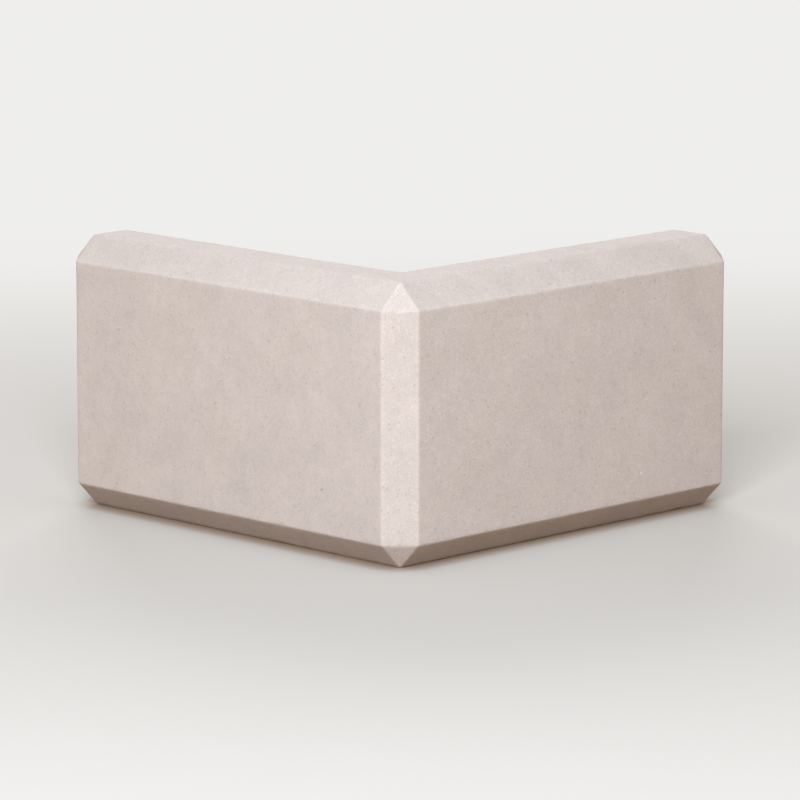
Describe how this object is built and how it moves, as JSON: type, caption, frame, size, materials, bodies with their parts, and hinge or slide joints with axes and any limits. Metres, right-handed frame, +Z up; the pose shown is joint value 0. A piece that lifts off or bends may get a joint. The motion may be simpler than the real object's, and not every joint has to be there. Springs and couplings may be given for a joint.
{
  "type": "quoin stone",
  "caption": "L-shaped cast stone quoin with equal legs, splayed edges and small corner facets, bedded round the outside corner of a wall.",
  "frame": {"origin": "middle of the 350 by 350 mm footprint, on the bottom bed", "axes": "+Z up through the course; one leg runs along X on the -Y side and the other along Y on the -X side, so the outer corner of the wall points to -X and -Y"},
  "size_m": [0.35, 0.35, 0.2],
  "materials": {
    "cast_stone": "matte"
  },
  "bodies": {
    "root": {"quoin_stone": "cast_stone"}
  },
  "joints": []
}
